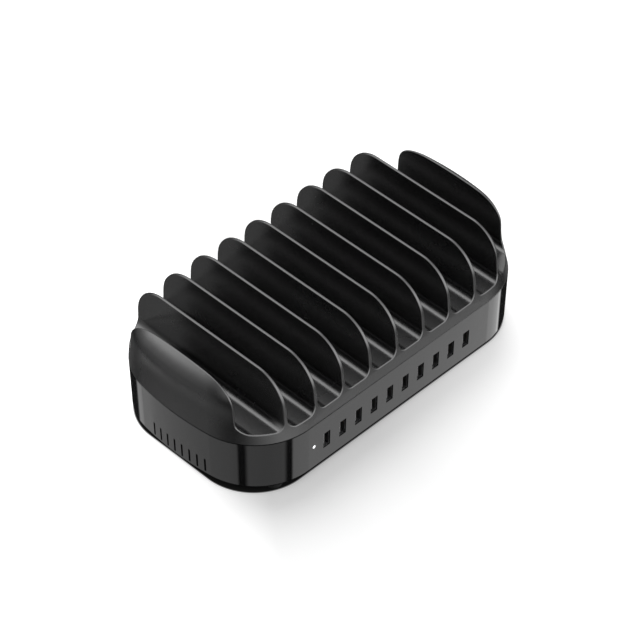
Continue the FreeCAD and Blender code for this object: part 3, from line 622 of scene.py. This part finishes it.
link(brighter.outputs["Value"], open_floor.inputs[1])
link(open_floor.outputs["Value"], lift.inputs[0])
link(floor_path.outputs["Is Camera Ray"], lift.inputs[1])
link(lift.outputs["Value"], shader.inputs["Emission Strength"])
floor_mesh.materials.append(floor_white)
floor.visible_glossy = False


# Studio: an even surround lights all faces, and polished ones see low panels with dark gaps, most of them
# dimmer at their tops, and above them soft boxes in front, behind and overhead. A ring holds degrees and
# tones round the station, and each ring gives way to the next between two elevations in degrees.
front_panel = (
    (-77, 0.02), (-73.5, 1.25), (-60, 1.15), (-46, 1.0), (-41, 1.08), (-39, 1.25), (-38.5, 1.6), (-13, 1.65),
    (-9, 2.3), (-7, 1.9), (-3, 0.02),
)
panels_below = (
    (-180, 0.70), (-165.5, 0.66), (-162, 0.02), (-153, 0.02), (-147, 0.67), (-90, 0.62), (-84, 0.02),
    *front_panel, (94, 0.02), (100, 1.0), (112, 0.9), (120, 0.72), (150, 0.62), (180, 0.70),
)
panel_tops = (
    (-180, 0.28), (-165.5, 0.31), (-162, 0.01), (-153, 0.01), (-147, 0.34), (-90, 0.31), (-84, 0.01),
    *front_panel, (94, 0.01), (104, 0.02), (122, 0.04), (140, 0.14), (160, 0.2), (180, 0.28),
)
boxes_low = (
    (-180, 0.2), (-162, 0.05), (-140, 0.25), (-115, 0.75), (-95, 1.3), (-70, 0.75), (-50, 0.4), (-25, 0.1),
    (0, 0.02), (30, 0.01), (90, 0.02), (105, 0.08), (120, 0.24), (140, 0.5), (165, 0.4), (180, 0.2),
)
boxes_level = (
    (-180, 0.15), (-168, 0.7), (-140, 2.6), (-100, 4.0), (-50, 4.4), (-40, 3.3), (-25, 0.9), (0, 0.1),
    (90, 0.1), (110, 0.6), (135, 1.25), (160, 0.75), (180, 0.15),
)
boxes_high = (
    (-180, 0.4), (-160, 2.4), (-120, 4.0), (-60, 4.5), (-35, 2.3), (0, 0.6), (30, 1.0), (60, 2.2),
    (110, 3.3), (130, 3.9), (150, 1.8), (180, 0.4),
)
boxes_above = (
    (-180, 1.7), (-150, 2.3), (-110, 3.0), (-70, 3.2), (-30, 2.0), (0, 1.5), (35, 3.0), (65, 4.6),
    (100, 4.2), (130, 2.5), (155, 1.8), (180, 1.7),
)
rings_by_height = (
    (panels_below, -54, -50), (panel_tops, -46, -44.6), (boxes_low, -43, -37),
    (boxes_level, -20, 8), (boxes_high, 8, 35), (boxes_above, 35, 60),
)
under_panels = 0.01
surround_grey, seen_white = (0.52, 0.52, 0.52, 1), (1, 1, 1, 1)
world = bpy.data.worlds.new("studio")
bpy.context.scene.world = world
world.use_nodes = True
tree = world.node_tree
link = tree.links.new
direction = add_node(tree, "ShaderNodeTexCoord")
parts = add_node(tree, "ShaderNodeSeparateXYZ")
angle = add_node(tree, "ShaderNodeMath", operation="ARCTAN2")
turn = add_node(tree, "ShaderNodeMapRange", {"From Min": -math.pi, "From Max": math.pi})
link(direction.outputs["Generated"], parts.inputs["Vector"])
link(parts.outputs["Y"], angle.inputs[0])
link(parts.outputs["X"], angle.inputs[1])
link(angle.outputs["Value"], turn.inputs["Value"])


def ring(tones):
    """Brightness round the station, from a ring of degrees and tones."""
    ramp = add_node(tree, "ShaderNodeValToRGB")
    while len(ramp.color_ramp.elements) < len(tones):
        ramp.color_ramp.elements.new(0.5)
    for element, (degrees, tone) in zip(ramp.color_ramp.elements, tones):
        element.position = (degrees + 180) / 360
        element.color = (tone, tone, tone, 1)
    link(turn.outputs["Result"], ramp.inputs["Fac"])
    return ramp.outputs["Color"]


def rise(below, above, start, end):
    """Go over from one brightness to another between two elevations in degrees."""
    share = add_node(tree, "ShaderNodeMapRange",
                     {"From Min": math.sin(math.radians(start)), "From Max": math.sin(math.radians(end))})
    blend = add_node(tree, "ShaderNodeMix", data_type="RGBA")
    link(parts.outputs["Z"], share.inputs["Value"])
    link(share.outputs["Result"], blend.inputs["Factor"])
    for source, socket in ((below, blend.inputs[6]), (above, blend.inputs[7])):
        if isinstance(source, float):
            socket.default_value = (source, source, source, 1)
        else:
            link(source, socket)
    return blend.outputs[2]


shine = under_panels
for tones, start, end in rings_by_height:
    shine = rise(shine, ring(tones), start, end)
path = add_node(tree, "ShaderNodeLightPath")
surround = add_node(tree, "ShaderNodeMix", {6: surround_grey}, data_type="RGBA")
seen = add_node(tree, "ShaderNodeMix", {7: seen_white}, data_type="RGBA")
link(path.outputs["Is Glossy Ray"], surround.inputs["Factor"])
link(shine, surround.inputs[7])
link(path.outputs["Is Camera Ray"], seen.inputs["Factor"])
link(surround.outputs[2], seen.inputs[6])
link(seen.outputs[2], tree.nodes["Background"].inputs["Color"])


# Key light: one very large soft source, high behind the station, so the shadow falls in front.
# It lights the floor and the faces, but is not itself seen in the polish.
key = bpy.data.lights.new("key", "SUN")
key.energy = 2.1
key.angle = math.radians(50)
key_object = bpy.data.objects.new("key", key)
key_turn, key_height = math.radians(66), math.radians(53)
towards_key = Vector((math.cos(key_turn) * math.cos(key_height), math.sin(key_turn) * math.cos(key_height),
                      math.sin(key_height)))
key_object.rotation_euler = towards_key.to_track_quat("Z", "Y").to_euler()
key_object.visible_glossy = False
bpy.context.scene.collection.objects.link(key_object)


# Camera: where the photograph was taken from, found by fitting the ports, the dividers and the outline.
# The lens is long, so the row of slots hardly narrows with distance.
camera = bpy.data.cameras.new("camera")
camera.sensor_width = 36.0
camera.lens = 163.94
camera.clip_end = 50.0
camera_object = bpy.data.objects.new("camera", camera)
camera_object.location = (-1.0217, -1.0222, 1.415)
camera_object.rotation_euler = (math.radians(46.34), 0, math.radians(-44.95))
bpy.context.scene.collection.objects.link(camera_object)
bpy.context.scene.camera = camera_object
bpy.context.scene.view_settings.view_transform = "Standard"
